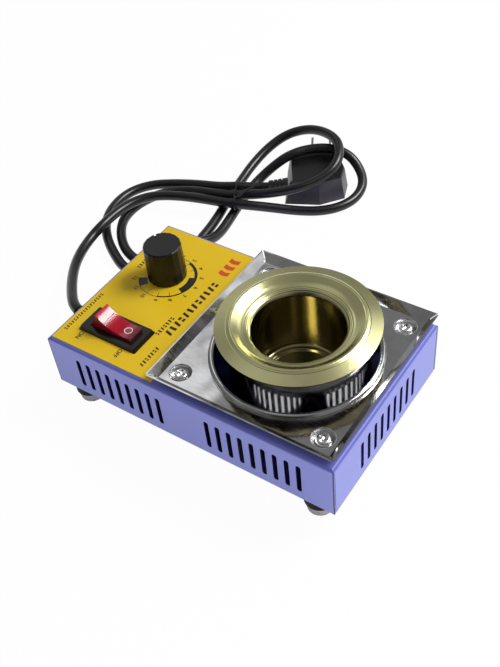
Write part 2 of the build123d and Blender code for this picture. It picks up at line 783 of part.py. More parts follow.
def make_cord_gland():
    """Snap-in bush in the case wall, with a ribbed boot that follows the lead's first bend."""
    neck = gland_neck_radius
    bore = cord_diameter / 2 + gland_clearance
    grip = neck + gland_snap
    snap_top = -case_sheet - hole_clearance
    bush = turned([(0, -gland_inside), (grip - gland_snap / 2, -gland_inside), (grip, snap_top),
                   (neck, snap_top), (neck, 0), (gland_flange_radius, 0),
                   (gland_flange_radius, gland_flange_thickness), (0, gland_flange_thickness)])
    bush = Pos(-half_length, gland_y, gland_z) * Rot(0, -90, 0) * bush
    path = cord_path()
    steps = 2 * boot_ribs
    rings = []
    for i in range(steps + 1):
        share = i / steps
        radius = boot_root_radius + (boot_tip_radius - boot_root_radius) * share - boot_groove_depth * (i % 2)
        along = (cord_start_inside + boot_length * share) / path.length
        rings.append(Plane(origin=path @ along, z_dir=path % along) * Circle(radius))
    bore_section = Plane(origin=path @ 0, z_dir=path % 0) * Circle(bore)
    return bush + loft(rings, ruled=True) - sweep(bore_section, path=path)


def cord_path():
    """Straight runs joined by tangent arcs, each as large as its two runs allow."""
    points = [Vector(*p) for p in cord_points]
    radii = []
    for before, here, after in zip(points, points[1:], points[2:]):
        turn = (here - before).get_angle(after - here)
        shorter = min((here - before).length, (after - here).length)
        radii.append(bend_share * shorter / math.tan(math.radians(turn / 2)))
    return FilletPolyline(*points, radius=radii)


def make_power_cord():
    path = cord_path()
    section = Plane(origin=path @ 0, z_dir=path % 0) * Circle(cord_diameter / 2)
    tube = sweep(section, path=path)
    expected = math.pi * (cord_diameter / 2) ** 2 * path.length
    print("cord length, mm:", round(path.length, 1), "volume ratio:", round(tube.volume / expected, 4))
    return tube


def make_cord_tie():
    """Wire ring round the three upper strands, with its twisted tail."""
    first = Vector(*tie_ends[0])
    last = Vector(*tie_ends[1])
    across = last - first
    reach = cord_diameter / 2 + tie_slack + tie_wire_radius
    ring_plane = Plane(origin=(first + last) / 2, x_dir=across, z_dir=across.cross(Vector(0, 0, 1)))
    ring_path = (ring_plane * SlotCenterToCenter(across.length, 2 * reach)).wires()[0]
    ring = sweep(Plane(origin=ring_path @ 0, z_dir=ring_path % 0) * Circle(tie_wire_radius), path=ring_path)
    tail_path = Line(first + Vector(0, 0, reach), Vector(*tie_tail_end))
    tail = sweep(Plane(origin=tail_path @ 0, z_dir=tail_path % 0) * Circle(tie_tail_radius), path=tail_path)
    return ring + tail


def plug_place():
    before = Vector(*cord_points[-2])
    end = Vector(*cord_points[-1])
    heading = math.degrees(math.atan2(end.Y - before.Y, end.X - before.X))
    return Pos(end.X, end.Y, 0) * Rot(0, 0, heading) * Pos(cord_end_gap, 0, 0)


def make_plug_body():
    body = loft([
        make_face(Polyline(*plug_base_outline, close=True)),
        Pos(0, 0, plug_height) * make_face(Polyline(*plug_top_outline, close=True)),
    ])
    body = fillet(body.edges().group_by(Axis.Z)[-1], plug_edge_round)
    cord_z = cord_points[-1][2]
    taper = [(0, 0), (relief_tip_radius, 0), (relief_root_radius, relief_length), (0, relief_length)]
    relief = turned(taper)
    for i in range(relief_grooves):
        z = (i + 1) * relief_length / (relief_grooves + relief_groove_spread)
        outer = relief_tip_radius + (relief_root_radius - relief_tip_radius) * z / relief_length
        relief -= pipe(2 * outer, outer - relief_groove_depth, z, z + relief_groove_depth)
    body += Pos(0, 0, cord_z) * Rot(0, 90, 0) * relief
    return plug_place() * body


def make_plug_pins():
    back = plug_base_outline[4][1]
    pin = block(-pin_thickness / 2, pin_thickness / 2, back, back + pin_length, -pin_width / 2, pin_width / 2)
    z = plug_height / 2
    return plug_place() * group(Pos(pin_first + i * pin_spacing, 0, z) * pin for i in range(2))


pieces = {
    "case_shell": make_case_shell(),
    "control_label": make_control_label(),
    "base_plate": make_base_plate(),
    "base_screws": make_base_screws(),
    "foot_screws": make_foot_screws(),
    "foot_nuts": make_foot_nuts(),
    "drip_tray": make_drip_tray(),
    "tray_screws": make_tray_screws(),
    "tray_nuts": make_tray_nuts(),
    "solder_pot": make_solder_pot(),
    "heat_shield": make_heat_shield(),
    "heater_band": make_heater_band(),
    "insulation_sleeve": make_insulation_sleeve(),
    "insulation_pad": make_insulation_pad(),
    "shield_standoffs": make_shield_standoffs(),
    "shield_screws": make_shield_screws(),
    "shield_nuts": make_shield_nuts(),
    "switch_body": make_switch_body(),
    "rocker": make_rocker(),
    "switch_terminals": make_switch_terminals(),
    "regulator_body": make_regulator_body(),
    "regulator_shaft": make_regulator_shaft(),
    "regulator_washer": make_regulator_washer(),
    "regulator_nut": make_regulator_nut(),
    "regulator_terminals": make_regulator_terminals(),
    "control_knob": make_control_knob(),
    "circuit_board": make_circuit_board(),
    "board_standoffs": make_board_standoffs(),
    "board_screws": make_board_screws(),
    "heat_sink": make_heat_sink(),
    "triac": make_triac(),
    "film_capacitor": make_film_capacitor(),
    "terminal_block": make_terminal_block(),
    "cord_gland": make_cord_gland(),
    "power_cord": make_power_cord(),
    "cord_tie": make_cord_tie(),
    "plug_body": make_plug_body(),
    "plug_pins": make_plug_pins(),
}
for x, y in foot_places:
    end = "right" if x > 0 else "left"
    side = "rear" if y > 0 else "front"
    pieces[f"foot_{side}_{end}"] = make_foot(x, y)

os.makedirs("parts", exist_ok=True)
for name, shape in pieces.items():
    export_step(shape, f"parts/{name}.step")
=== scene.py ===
import bmesh
import bpy
import json
import math
from mathutils import Matrix, Vector


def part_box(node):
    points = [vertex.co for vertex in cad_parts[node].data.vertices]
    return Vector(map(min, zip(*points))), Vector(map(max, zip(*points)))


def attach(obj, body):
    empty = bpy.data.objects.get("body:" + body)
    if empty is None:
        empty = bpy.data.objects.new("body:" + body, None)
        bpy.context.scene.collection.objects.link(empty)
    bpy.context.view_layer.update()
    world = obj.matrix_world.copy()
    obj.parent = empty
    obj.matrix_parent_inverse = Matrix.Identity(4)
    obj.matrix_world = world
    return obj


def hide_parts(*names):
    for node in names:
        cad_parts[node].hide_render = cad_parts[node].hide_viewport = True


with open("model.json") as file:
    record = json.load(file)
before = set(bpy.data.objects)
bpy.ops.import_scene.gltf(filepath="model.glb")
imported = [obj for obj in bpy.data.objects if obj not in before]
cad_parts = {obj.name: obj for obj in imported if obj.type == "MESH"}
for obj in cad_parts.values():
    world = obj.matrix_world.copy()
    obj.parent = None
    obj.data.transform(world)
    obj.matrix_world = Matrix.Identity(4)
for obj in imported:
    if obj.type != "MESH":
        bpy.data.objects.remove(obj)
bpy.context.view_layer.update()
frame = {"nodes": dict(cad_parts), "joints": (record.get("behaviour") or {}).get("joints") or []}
nodes = frame["nodes"]
scene = bpy.context.scene
mm = 0.001


def node_box(name):
    """Lowest and highest corners of a CAD node, in millimetres."""
    low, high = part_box(name)
    return low / mm, high / mm


# Places from the frame, in millimetres
case_high = node_box("case_shell")[1]
case_top = case_high.z
label_top = node_box("control_label")[1].z
pot_low, pot_high = node_box("solder_pot")
cup_axis = ((pot_low.x + pot_high.x) / 2, (pot_low.y + pot_high.y) / 2)
rocker_joint = next(joint for joint in frame["joints"] if joint["name"] == "rocker_tilt")
rocker_pivot = Vector(rocker_joint["pos_m"]) / mm
rocker_tilt = math.radians(rocker_joint["range_deg"][1] / 2)

# Camera at the photograph's viewing angle
camera_place = Vector((221.1, -269.1, 395.7)) * mm
camera_elevation = math.radians(45.24)
camera_azimuth = math.radians(38.49)
camera_roll = math.radians(-6.84)
camera_lens = 50.1
camera_sensor = 36.0


def make_camera():
    forward = Vector((
        -math.sin(camera_azimuth) * math.cos(camera_elevation),
        math.cos(camera_azimuth) * math.cos(camera_elevation),
        -math.sin(camera_elevation),
    ))
    level_right = forward.cross(Vector((0, 0, 1))).normalized()
    right = Matrix.Rotation(-camera_roll, 3, forward) @ level_right
    up = right.cross(forward)
    turn = Matrix((right, up, -forward)).transposed()
    data = bpy.data.cameras.new("camera")
    data.lens = camera_lens
    data.sensor_width = camera_sensor
    data.clip_start = 0.01
    camera = bpy.data.objects.new("camera", data)
    camera.matrix_world = Matrix.Translation(camera_place) @ turn.to_4x4()
    scene.collection.objects.link(camera)
    scene.camera = camera


def linear(red, green, blue):
    """Display colour, 0 to 255, as the linear colour that a shader takes."""
    out = []
    for value in (red, green, blue):
        share = value / 255
        out.append(share / 12.92 if share <= 0.04045 else ((share + 0.055) / 1.055) ** 2.4)
    return (*out, 1.0)


def grey(value):
    """Linear grey for metals, 0 to 1."""
    return (value, value, value, 1.0)


class Surface:
    """A node material whose colour, roughness and relief vary over the piece."""

    def __init__(self, name):
        self.material = bpy.data.materials.new(name)
        self.material.use_nodes = True
        self.tree = self.material.node_tree
        self.shader = self.tree.nodes["Principled BSDF"]
        coordinates = self.add("ShaderNodeTexCoord").outputs
        self.place = coordinates["Object"]
        self.normal = coordinates["Normal"]
        self.last_relief = None

    def add(self, kind, **settings):
        node = self.tree.nodes.new(kind)
        for key, value in settings.items():
            setattr(node, key, value)
        return node

    def link(self, source, target):
        self.tree.links.new(source, target)

    def set(self, **values):
        """Constants on the shader's own sockets."""
        for key, value in values.items():
            socket = key.replace("_", " ").title().replace("Ior", "IOR")
            self.shader.inputs[socket].default_value = value

    def noise(self, scale, detail, stretch=(1, 1, 1)):
        mapping = self.add("ShaderNodeMapping")
        mapping.inputs["Scale"].default_value = stretch
        self.link(self.place, mapping.inputs["Vector"])
        node = self.add("ShaderNodeTexNoise")
        node.inputs["Scale"].default_value = scale
        node.inputs["Detail"].default_value = detail
        self.link(mapping.outputs["Vector"], node.inputs["Vector"])
        return node.outputs["Fac"]

    def range(self, value, low, high, from_low=0.0, from_high=1.0):
        node = self.add("ShaderNodeMapRange")
        node.inputs["From Min"].default_value = from_low
        node.inputs["From Max"].default_value = from_high
        node.inputs["To Min"].default_value = low
        node.inputs["To Max"].default_value = high
        self.link(value, node.inputs["Value"])
        return node.outputs["Result"]

    def beyond(self, value, edge, soft):
        """Nought up to an edge and one past a soft stretch after it, in millimetres."""
        return self.range(value, 0, 1, edge * mm, (edge + soft) * mm)

    def before(self, value, edge, soft):
        """One up to an edge and nought past a soft stretch after it, in millimetres."""
        return self.range(value, 1, 0, edge * mm, (edge + soft) * mm)

    def band(self, value, middle, half):
        """One at a middle value, down to nought at half a width from it, in millimetres."""
        apart = self.math("ABSOLUTE", self.math("SUBTRACT", value, middle * mm))
        return self.range(apart, 1, 0, 0, half * mm)

    def math(self, operation, first, second=0):
        node = self.add("ShaderNodeMath", operation=operation)
        for socket, value in zip(node.inputs, (first, second)):
            if isinstance(value, (int, float)):
                socket.default_value = value
            else:
                self.link(value, socket)
        return node.outputs["Value"]

    def times(self, mask, share):
        return self.math("MULTIPLY", mask, share)

    def every(self, *masks):
        """One only where every mask is one."""
        total = masks[0]
        for mask in masks[1:]:
            total = self.math("MULTIPLY", total, mask)
        return total

    def any(self, *masks):
        """One where any mask is one."""
        total = masks[0]
        for mask in masks[1:]:
            total = self.math("MAXIMUM", total, mask)
        return total

    def mix(self, factor, first, second):
        node = self.add("ShaderNodeMix", data_type="RGBA")
        self.link(factor, node.inputs[0])
        for socket, value in ((node.inputs[6], first), (node.inputs[7], second)):
            if isinstance(value, tuple):
                socket.default_value = value
            else:
                self.link(value, socket)
        return node.outputs[2]

    def vector(self, operation, first, second=None):
        node = self.add("ShaderNodeVectorMath", operation=operation)
        for socket, value in zip(node.inputs, (first, second)):
            if isinstance(value, (tuple, Vector)):
                socket.default_value = value
            elif value is not None:
                self.link(value, socket)
        return node.outputs["Value" if operation in ("LENGTH", "DOT_PRODUCT") else "Vector"]

    def parts(self, vector):
        node = self.add("ShaderNodeSeparateXYZ")
        self.link(vector, node.inputs[0])
        return node.outputs

    def facing(self, centre):
        """Above zero where the surface faces away from a centre."""
        outward = self.vector("SUBTRACT", self.place, Vector(centre) * mm)
        return self.vector("DOT_PRODUCT", self.normal, outward)

    def radius(self, axis):
        """Distance from an upright axis, in metres."""
        across = self.vector("SUBTRACT", self.place, Vector((*axis, 0)) * mm)
        return self.vector("LENGTH", self.vector("MULTIPLY", across, (1, 1, 0)))

    def colour(self, output):
        self.link(output, self.shader.inputs["Base Color"])

    def roughness(self, output):
        self.link(output, self.shader.inputs["Roughness"])

    def relief(self, height, strength, distance):
        """Relief over the one before it, with its distance in millimetres."""
        node = self.add("ShaderNodeBump")
        node.inputs["Strength"].default_value = strength
        node.inputs["Distance"].default_value = distance * mm
        self.link(height, node.inputs["Height"])
        if self.last_relief is not None:
            self.link(self.last_relief, node.inputs["Normal"])
        self.last_relief = node.outputs["Normal"]
        self.link(self.last_relief, self.shader.inputs["Normal"])


grain_distance = 0.2


def varied(name, light, dark, patch, rough, grain, relief, metallic=0.0, stretch=(1, 1, 1), coat=0.0):
    """Two colours in soft patches, uneven gloss and a fine grain; patch and grain are noise scales."""
    surface = Surface(name)
    patches = surface.noise(patch, detail=4.0, stretch=stretch)
    surface.tone = surface.mix(patches, dark, light)
    surface.colour(surface.tone)
    fine = surface.noise(grain, detail=2.0, stretch=stretch)
    surface.gloss = surface.range(fine, rough[0], rough[1], from_low=0.3, from_high=0.7)
    surface.roughness(surface.gloss)
    surface.relief(fine, relief, grain_distance)
    surface.set(metallic=metallic, coat_weight=coat)
    return surface


# Finishes, with their places in millimetres
case_centre = (0, 0, 30)
seam_width = 0.7
slot_wall = 1.2
slot_clear_of_edge = 3.0
# Painted shade along the case's top bends, where the tray's flange shades them
bend_shade_start = 1.9
bend_shade_soft = 0.9
bend_shade = 0.6


def blue_paint():
    """Blue outside; darker along the top bends and dark navy in the case's interior and on the slots' cut
    faces, all painted shade; dark in the seams.
    """
    surface = varied("blue_paint", light=linear(143, 149, 226), dark=linear(135, 141, 219), patch=30,
                     rough=(0.32, 0.42), grain=1400, relief=0.05)
    sides = surface.parts(surface.vector("ABSOLUTE", surface.place))
    turned = surface.parts(surface.vector("ABSOLUTE", surface.normal))
    # painted shade: faces of the case's interior are mixed to dark navy
    inside_shade = surface.range(surface.facing(case_centre), 1, 0, from_low=-0.5 * mm, from_high=0.0)
    seam = surface.every(surface.beyond(sides["X"], case_high.x - seam_width, soft=0.3),
                         surface.beyond(sides["Y"], case_high.y - seam_width, soft=0.3))
    below_bend = surface.before(sides["Z"], case_top - slot_clear_of_edge, soft=0.2)
    dark = surface.any(inside_shade, seam)
    for wall, along in (("X", "Y"), ("Y", "X")):
        wall_face = getattr(case_high, wall.lower())
        wall_end = getattr(case_high, along.lower())
        in_wall = surface.beyond(sides[wall], wall_face - slot_wall, soft=0.2)
        between_ends = surface.before(sides[along], wall_end - slot_clear_of_edge, soft=0.2)
        slot_cut_shade = surface.range(turned[wall], 1, 0, from_low=0.4, from_high=0.6)
        # painted shade: the slots' cut faces are mixed to dark navy
        dark = surface.any(dark, surface.every(in_wall, between_ends, slot_cut_shade, below_bend))
    # painted shade: the top bends are mixed to a darker blue
    bend_painted_shade = surface.times(surface.beyond(sides["Z"], case_top - bend_shade_start, bend_shade_soft), bend_shade)
    shaded = surface.mix(bend_painted_shade, surface.tone, linear(58, 62, 150))
    # dark navy: painted shade in the interior and the slots, and the seams' own dark joint colour
    surface.colour(surface.mix(dark, shaded, linear(28, 28, 84)))
    surface.set(specular_ior_level=0.35)
    return surface.material


def yellow_film():
    surface = varied("yellow_film", light=linear(224, 188, 36), dark=linear(217, 180, 30), patch=40,
                     rough=(0.34, 0.44), grain=2600, relief=0.03)
    surface.set(specular_ior_level=0.18)
    return surface.material


def polished_steel(name, light, dark):
    return varied(name, light, dark, patch=25, rough=(0.07, 0.16), grain=260, relief=0.015, metallic=1.0,
                  stretch=(1, 4, 1))


tray_screw_head = 3.9
dimple_radius = 6.2
dimple_roughness = 0.16
groove_gap = 0.3
groove_half = 0.6
cloud_shade = 0.55
dent_depth = 1.8


def screw_places():
    """Centres of the four tray screws, in millimetres."""
    low, high = node_box("tray_screws")
    inset = tray_screw_head
    return [(x, y) for x in (low.x + inset, high.x - inset) for y in (low.y + inset, high.y - inset)]


def tray_steel():
    """Bright sheet, clouded and softly dented, with satin dimples painted brighter as a painted highlight,
    and a dark line of painted shade round each screw.
    """
    surface = polished_steel("tray_steel", (0.66, 0.66, 0.67, 1), (0.55, 0.55, 0.56, 1))
    cloud_noise = surface.noise(scale=42, detail=5.0)
    clouds = surface.range(cloud_noise, 0, cloud_shade, from_low=0.5, from_high=0.68)
    clouded = surface.mix(clouds, surface.tone, grey(0.34))
    from_screws = [surface.radius(place) for place in screw_places()]
    dimples = surface.any(*[surface.before(apart, dimple_radius, soft=0.3) for apart in from_screws])
    # painted shade: a dark line in the gap round each screw head
    screw_groove_shade = surface.any(*[surface.band(apart, tray_screw_head + groove_gap, groove_half)
                            for apart in from_screws])
    # painted highlight: the dimples are mixed to a brighter grey; their added roughness is real satin
    bright = surface.mix(dimples, clouded, grey(0.74))
    surface.colour(surface.mix(screw_groove_shade, bright, grey(0.1)))
    surface.roughness(surface.math("ADD", surface.gloss, surface.times(dimples, dimple_roughness)))
    surface.relief(surface.noise(scale=24, detail=2.0), strength=1.0, distance=dent_depth)
    return surface.material


def screw_steel():
    return varied("screw_steel", light=grey(0.8), dark=(0.68, 0.68, 0.69, 1), patch=300, rough=(0.24, 0.32),
                  grain=1200, relief=0.01, metallic=1.0).material


def plain_steel():
    return varied("plain_steel", light=grey(0.5), dark=(0.36, 0.36, 0.37, 1), patch=120, rough=(0.28, 0.42),
                  grain=900, relief=0.05, metallic=1.0).material


pot_dark_height = 66.5
turned_lines = [25.4, 26.3, 27.3, 36.0]
turned_line_half = 0.3
turned_line_depth = 0.3
turned_line_shade = 0.6
oxide_polish = 0.08


def gold_pot():
    """Pale brass on the rim, dark oxidised brass in the cup and below the rim, painted shade on the rim's
    downward faces, fine turned lines round the mouth with painted shade in them.
    """
    surface = varied("gold_pot", light=linear(232, 230, 176), dark=linear(216, 213, 154), patch=60,
                     rough=(0.2, 0.25), grain=1500, relief=0.003, metallic=1.0)
    below = surface.before(surface.parts(surface.place)["Z"], pot_dark_height, soft=1.0)
    # painted shade: faces turning downwards are mixed to the dark oxidised tone
    underside_shade = surface.range(surface.parts(surface.normal)["Z"], 1, 0, from_low=-0.2, from_high=0.0)
    oxide_and_underside_shade = surface.any(below, underside_shade)
    stains = surface.noise(scale=45, detail=4.0)
    stained = surface.mix(stains, linear(150, 142, 108), linear(172, 164, 124))
    from_axis = surface.radius(cup_axis)
    lines = surface.any(*[surface.band(from_axis, radius, turned_line_half) for radius in turned_lines])
    # painted shade: the turned lines are mixed darker as well as cut in by relief
    lined = surface.mix(surface.times(lines, turned_line_shade), surface.tone, linear(70, 62, 34))
    # the dark tone is real oxidised brass in the cup and below the rim, and painted shade on the downward
    # faces
    surface.colour(surface.mix(oxide_and_underside_shade, lined, stained))
    surface.roughness(surface.math("SUBTRACT", surface.gloss, surface.times(oxide_and_underside_shade, oxide_polish)))
    surface.relief(surface.times(lines, -1.0), strength=0.3, distance=turned_line_depth)
    return surface.material


def black_plastic():
    surface = varied("black_plastic", light=linear(17, 17, 18), dark=linear(11, 11, 12), patch=150,
                     rough=(0.24, 0.34), grain=2400, relief=0.05)
    surface.set(specular_ior_level=0.35)
    return surface.material


def plug_plastic():
    """Black top and grey sides: the sides are painted lighter than the top, as painted light and shade by
    which way each face turns.
    """
    surface = varied("plug_plastic", light=linear(12, 12, 13), dark=linear(7, 7, 8), patch=110,
                     rough=(0.36, 0.48), grain=2200, relief=0.07)
    upward_shade = surface.range(surface.parts(surface.normal)["Z"], 0, 1, from_low=0.6, from_high=0.8)
    # painted light and shade: faces turned up keep the black tone, the sides are mixed to a lit grey
    surface.colour(surface.mix(upward_shade, linear(74, 71, 78), surface.tone))
    return surface.material


def lead_rubber():
    return varied("black_rubber", light=linear(24, 24, 26), dark=linear(16, 16, 18), patch=90,
                  rough=(0.26, 0.36), grain=1800, relief=0.06).material


# Height of the painted light band on the feet
foot_band = 7.1


def foot_rubber():
    """Black above, with a grey band of painted light round the lower end, where the white floor lights it,
    speckled darker.
    """
    surface = Surface("foot_rubber")
    speckle = surface.noise(scale=300, detail=4.0)
    band_speckle = surface.range(speckle, 0, 1, from_low=0.30, from_high=0.38)
    # painted light: the lower band is mixed to grey, standing in for light from the white floor
    lit_band = surface.mix(band_speckle, linear(60, 58, 62), linear(172, 168, 174))
    black = surface.mix(speckle, linear(4, 4, 7), linear(9, 9, 13))
    above = surface.beyond(surface.parts(surface.place)["Z"], foot_band, soft=0.4)
    surface.colour(surface.mix(above, lit_band, black))
    surface.roughness(surface.range(speckle, 0.5, 0.7))
    surface.relief(speckle, strength=0.08, distance=grain_distance)
    surface.set(specular_ior_level=0.15)
    return surface.material


# Painted shade on the rocker: start and soft stretch past the pivot, its share, and the flanks' share
rocker_shade_start = 3.0
rocker_shade_soft = 9.0
rocker_shade = 0.75
flank_shade = 0.7


def red_rocker():
    """Clear red, with painted shade on its flanks and towards the end that is pressed in."""
    surface = varied("red_rocker", light=linear(190, 20, 44), dark=linear(164, 12, 32), patch=120,
                     rough=(0.14, 0.22), grain=900, relief=0.02, coat=0.25)
    along = surface.parts(surface.place)["X"]
    pressed_end_shade = surface.beyond(along, rocker_pivot.x + rocker_shade_start, rocker_shade_soft)
    across = surface.math("ABSOLUTE", surface.parts(surface.normal)["Y"])
    flank_shade_mask = surface.range(across, 0, flank_shade, from_low=0.5, from_high=0.9)
    shade = surface.any(surface.times(pressed_end_shade, rocker_shade), flank_shade_mask)
    surface.colour(surface.mix(shade, surface.tone, linear(62, 10, 22)))
    surface.set(subsurface_weight=0.3, subsurface_scale=0.004, subsurface_radius=(1.0, 0.12, 0.1))
    return surface.material


def ink(name, colour):
    faded = tuple(0.8 * value for value in colour[:3]) + (1,)
    return varied(name, colour, faded, patch=300, rough=(0.36, 0.46), grain=2400, relief=0.03).material


def hidden_finish(name, light, dark, patch, rough, metallic=0.0):
    return varied(name, light, dark, patch, rough, grain=700, relief=0.05, metallic=metallic).material


# Mains lead: the route of the CAD tube, in millimetres
cord_diameter = 6.6
cord_points = [
    (-86.5, -18, 27), (-99.5, -18, 27), (-111.5, -13.5, 25.5), (-121, -6, 22.5), (-135.5, 8.5, 17),
    (-149, 24.5, 11.5), (-158.5, 41, 8), (-162, 55, 8), (-160.5, 67, 11.5), (-160.5, 83, 11.5),
    (-157, 97.5, 11.5), (-149, 108.5, 11.5), (-134, 116, 11.5), (-117, 121, 11.5), (-100.5, 124.5, 11.5),
    (-85.5, 130, 11), (-72, 139, 7.5), (-58, 147.5, 4), (-43.5, 155, 3.5), (-33, 166, 3.5),
    (-28.5, 179.5, 4), (-30.5, 192.5, 6.5), (-38.5, 201.5, 10.5), (-49, 204.5, 17.5), (-62.5, 201.5, 20.5),
    (-75, 193.5, 20.5), (-83.5, 182, 20), (-91.5, 174, 13.5), (-97.5, 164, 7), (-99, 150.5, 4),
    (-96.5, 134.5, 3.5), (-93.5, 120, 3.5), (-91, 106, 3.5), (-89.5, 95, 6), (-90.5, 84.5, 11),
    (-95, 75, 12.5), (-101, 66.5, 9.5), (-109, 58.5, 5), (-120.5, 55, 3.5), (-132.5, 57.5, 3.5),
    (-145.5, 66, 3.5), (-157.5, 80.5, 3.5), (-161, 94.5, 3.5), (-159, 110, 3.5), (-150.5, 123.5, 4),
    (-134.5, 129.5, 7), (-115, 129.5, 11.5), (-100.5, 133.5, 11.5), (-87.5, 140.5, 12), (-73.5, 146.5, 14.5),
    (-60.5, 154, 17.5), (-51.5, 166, 19), (-46, 178, 22.5), (-47.5, 190, 26), (-56.5, 202.5, 28),
    (-73.5, 211, 25.5), (-89, 212.5, 21.5), (-101.5, 206, 17), (-109, 193, 11.5), (-111.5, 175.5, 7),
    (-110, 156, 4), (-106, 133.5, 3.5), (-102, 117.5, 3.5), (-99.5, 103, 3.5), (-98.5, 90, 3.5),
    (-93, 79.5, 3.5), (-91, 68, 3.5), (-95, 57, 3.5), (-103.5, 48.5, 3.5), (-114.5, 45, 3.5),
    (-127, 45.5, 3.5), (-141, 53, 3.5), (-155.5, 63, 3.5), (-168.5, 76.5, 3.5), (-175.5, 94, 3.5),
    (-175, 112, 3.5), (-166, 126, 3.5), (-150.5, 134.5, 4), (-132, 137.5, 7.5), (-113.5, 138, 11.5),
    (-102, 144.5, 11.5), (-93.5, 150.5, 9.5), (-84.5, 155.5, 9.5),
]


def make_cord(material):
    curve = bpy.data.curves.new("power_lead", "CURVE")
    curve.dimensions = "3D"
    curve.bevel_depth = cord_diameter / 2 * mm
    curve.bevel_resolution = 6
    curve.resolution_u = 8
    curve.use_fill_caps = True
    spline = curve.splines.new("NURBS")
    spline.points.add(len(cord_points) - 1)
    for point, place in zip(spline.points, cord_points):
        point.co = (*(Vector(place) * mm), 1)
    spline.order_u = 3
    spline.use_endpoint_u = True
    lead = bpy.data.objects.new("power_lead", curve)
    scene.collection.objects.link(lead)
    curve.materials.append(material)
    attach(lead, "base")
    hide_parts("power_cord")


# Stage, in metres and watts
floor_half = 30.0
floor_glow = 0.97
floor_roughness = 0.8
floor_white = 0.9
sky_level = 0.23
# Bright and dark zones of the studio: direction, angles where they are full and gone, level added
sky_zones = [
    ((0.36, 0.72, 0.60), 8, 28, 1.3),
    ((-0.58, 0.48, 0.66), 5, 11.5, 0.9),
    ((-0.40, -0.04, 0.91), 6, 22, 0.22),
    ((-0.81, 0.52, 0.26), 6, 22, 0.22),
    ((0.25, -0.80, 0.45), 14, 36, -0.19),
]
lamp_distance = 1.3
key_direction = Vector((0.42, 0.50, 0.76)).normalized()
key_size = 0.5
key_power = 13.5
fill_direction = Vector((0.55, -0.78, 0.30)).normalized()
fill_size = 0.7
fill_power = 5.0


def make_floor():
    """White to the camera and in mirrors, and a plain floor that keeps the shadow to other light."""
    mesh = bpy.data.meshes.new("floor")
    corners = [(-floor_half, -floor_half, 0), (floor_half, -floor_half, 0),
               (floor_half, floor_half, 0), (-floor_half, floor_half, 0)]
    mesh.from_pydata(corners, [], [(0, 1, 2, 3)])
    floor = bpy.data.objects.new("floor", mesh)
    scene.collection.objects.link(floor)
    surface = Surface("floor_white")
    surface.set(roughness=floor_roughness, base_color=grey(floor_white))
    paths = surface.add("ShaderNodeLightPath").outputs
    seen = surface.any(paths["Is Camera Ray"], paths["Is Glossy Ray"], paths["Is Transmission Ray"])
    glow = surface.add("ShaderNodeEmission")
    glow.inputs["Strength"].default_value = 1.0
    blend = surface.add("ShaderNodeMixShader")
    surface.link(surface.times(seen, floor_glow), blend.inputs[0])
    surface.link(surface.shader.outputs[0], blend.inputs[1])
    surface.link(glow.outputs[0], blend.inputs[2])
    surface.link(blend.outputs[0], surface.tree.nodes["Material Output"].inputs["Surface"])
    floor.data.materials.append(surface.material)


def make_sky():
    """A dim studio with a few soft bright zones and a dark one in front."""
    world = bpy.data.worlds.new("world")
    world.use_nodes = True
    tree = world.node_tree
    place = tree.nodes.new("ShaderNodeTexCoord").outputs["Generated"]
    total = None
    for direction, full, gone, level in sky_zones:
        dot = tree.nodes.new("ShaderNodeVectorMath")
        dot.operation = "DOT_PRODUCT"
        dot.inputs[1].default_value = Vector(direction).normalized()
        tree.links.new(place, dot.inputs[0])
        zone = tree.nodes.new("ShaderNodeMapRange")
        zone.interpolation_type = "SMOOTHSTEP"
        zone.inputs["From Min"].default_value = math.cos(math.radians(gone))
        zone.inputs["From Max"].default_value = math.cos(math.radians(full))
        zone.inputs["To Max"].default_value = level
        tree.links.new(dot.outputs["Value"], zone.inputs["Value"])
        both = tree.nodes.new("ShaderNodeMath")
        both.inputs[0].default_value = sky_level
        if total is not None:
            tree.links.new(total, both.inputs[0])
        tree.links.new(zone.outputs["Result"], both.inputs[1])
        total = both.outputs["Value"]
    tree.links.new(total, tree.nodes["Background"].inputs["Color"])
    scene.world = world


def make_lamp(name, direction, size, power, mirrored):
    data = bpy.data.lights.new(name, "AREA")
    data.size = size
    data.energy = power
    lamp = bpy.data.objects.new(name, data)
    lamp.location = direction * lamp_distance
    lamp.visible_glossy = mirrored
    lamp.rotation_euler = (-direction).to_track_quat("-Z", "Y").to_euler()
    scene.collection.objects.link(lamp)


def make_stage():
    make_floor()
    make_sky()
    make_lamp("key", key_direction, key_size, key_power, mirrored=True)
    make_lamp("fill", fill_direction, fill_size, fill_power, mirrored=False)
    scene.view_settings.view_transform = "Standard"


# Print on the label, in millimetres and degrees
print_lift = 0.05
print_height = label_top + print_lift
dial_centre = (-59.5, 15.8)
dial_radius = 16.8
dial_numbers = 13
number_radius = 19.3
number_size = 3.4
first_angle = 150.0
step_angle = 25.0
arc_step = 3.0
# Bands of the dial: depth inwards, first and last number
dial_bands = [(0.35, 1, 12), (1.7, 3, 5), (4.6, 5, 7), (0.9, 7, 9), (5.0, 11, 12)]
tick_numbers = [2, 3, 4, 8, 9, 10]
tick_inner = 3.8
tick_outer = 0.3
tick_width = 0.35
text_turn = math.radians(-90)
text_weight = 0.06
switch_text_size = 3.6
switch_texts = [("ON", -74, -44.5), ("OFF", -47, -45)]
